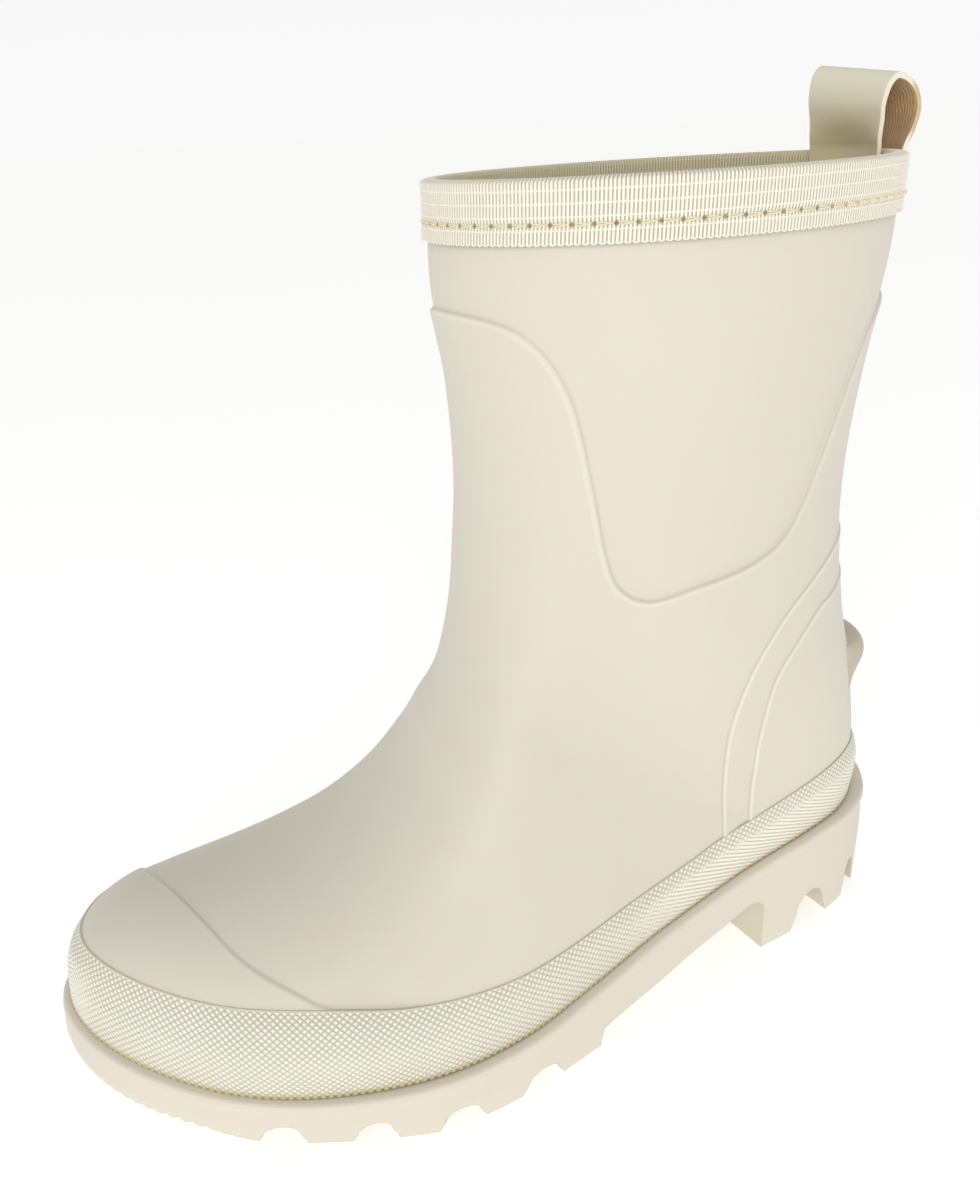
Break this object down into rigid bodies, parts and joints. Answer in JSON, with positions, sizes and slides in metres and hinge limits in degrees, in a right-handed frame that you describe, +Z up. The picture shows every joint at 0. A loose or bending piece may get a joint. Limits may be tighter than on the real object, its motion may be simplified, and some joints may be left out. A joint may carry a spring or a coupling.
{
  "type": "rubber boot",
  "caption": "Child's mid-height rubber boot for the left foot, with a lugged sole, a textured rand, a woven collar binding, a kick spur and a pull loop.",
  "frame": {"origin": "on the floor, under the middle of the boot's box", "axes": "+X towards the toe, +Y towards the outer side of the left foot, +Z up"},
  "size_m": [0.206, 0.0864, 0.1971],
  "materials": {
    "outsole_rubber": "matte",
    "upper_rubber": "satin",
    "insole_fabric": "matte",
    "woven_tape": "matte",
    "strap": "satin"
  },
  "bodies": {
    "root": {"outsole": "outsole_rubber", "upper": "upper_rubber", "foxing": "upper_rubber", "insole": "insole_fabric", "collar_binding": "woven_tape", "pull_loop": "strap"}
  },
  "joints": []
}
